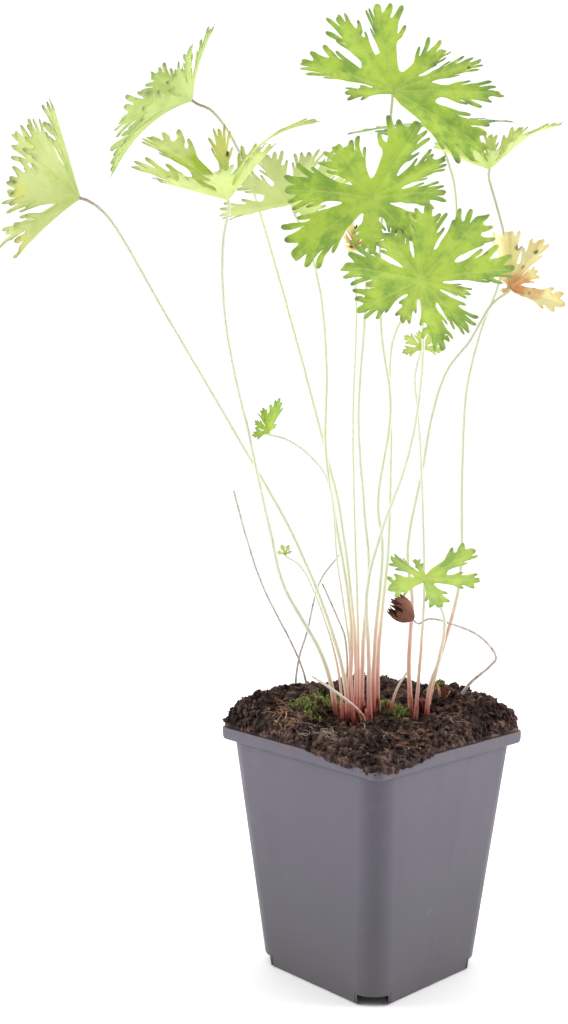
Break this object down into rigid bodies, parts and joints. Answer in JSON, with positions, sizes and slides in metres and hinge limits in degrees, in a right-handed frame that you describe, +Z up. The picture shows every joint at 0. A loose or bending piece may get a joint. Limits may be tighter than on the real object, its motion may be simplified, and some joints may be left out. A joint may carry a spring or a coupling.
{
  "type": "hardy geranium in a nursery pot",
  "caption": "Hardy geranium with long-stalked, deeply cut palmate leaves, growing in a square tapered nursery pot heaped with soil.",
  "frame": {"origin": "centre of the underside of the pot, where it stands", "axes": "+Z up along the plant; +X and +Y square to the sides of the pot"},
  "size_m": [0.223, 0.1886, 0.4065],
  "materials": {
    "pot_plastic": "matte, slightly scuffed",
    "soil": "damp peat-based potting soil, crumbly",
    "rootstock": "rough bark",
    "petiole": "thin, finely hairy, pink at the foot",
    "dry_stalk": "dry and dull",
    "leaf_green": "soft, veined leaf",
    "leaf_pale": "pale yellow-green leaf with dark tips",
    "leaf_grey_green": "grey-green underside of a leaf",
    "leaf_withered": "withered leaf, straw with orange folds",
    "leaf_dry": "dead, curled leaf"
  },
  "bodies": {
    "root": {"pot": "pot_plastic", "soil": "soil", "rootstock": "rootstock", "petiole_far_left": "petiole", "blade_far_left": "leaf_pale", "petiole_upper_left": "petiole", "blade_upper_left": "leaf_green", "petiole_pale_left": "petiole", "blade_pale_left": "leaf_pale", "petiole_pale_middle": "petiole", "blade_pale_middle": "leaf_pale", "petiole_top": "petiole", "blade_top": "leaf_green", "petiole_centre": "petiole", "blade_centre": "leaf_green", "petiole_front_right": "petiole", "blade_front_right": "leaf_green", "petiole_rear": "petiole", "blade_rear": "leaf_grey_green", "petiole_edge_right": "petiole", "blade_edge_right": "leaf_pale", "petiole_withered_right": "petiole", "blade_withered_right": "leaf_withered", "petiole_small_front": "petiole", "blade_small_front": "leaf_pale", "petiole_young_low": "petiole", "blade_young_low": "leaf_green", "petiole_withered_centre": "petiole", "blade_withered_centre": "leaf_withered", "petiole_tiny_folded": "petiole", "blade_tiny_folded": "leaf_green", "petiole_tiny_curled": "petiole", "blade_tiny_curled": "leaf_pale", "petiole_dried_curled": "dry_stalk", "blade_dried_curled": "leaf_dry", "dry_stalk_left": "dry_stalk", "dry_stalk_tall": "dry_stalk", "dry_stalk_short": "dry_stalk", "stub_front": "petiole", "stub_middle": "petiole"}
  },
  "joints": []
}
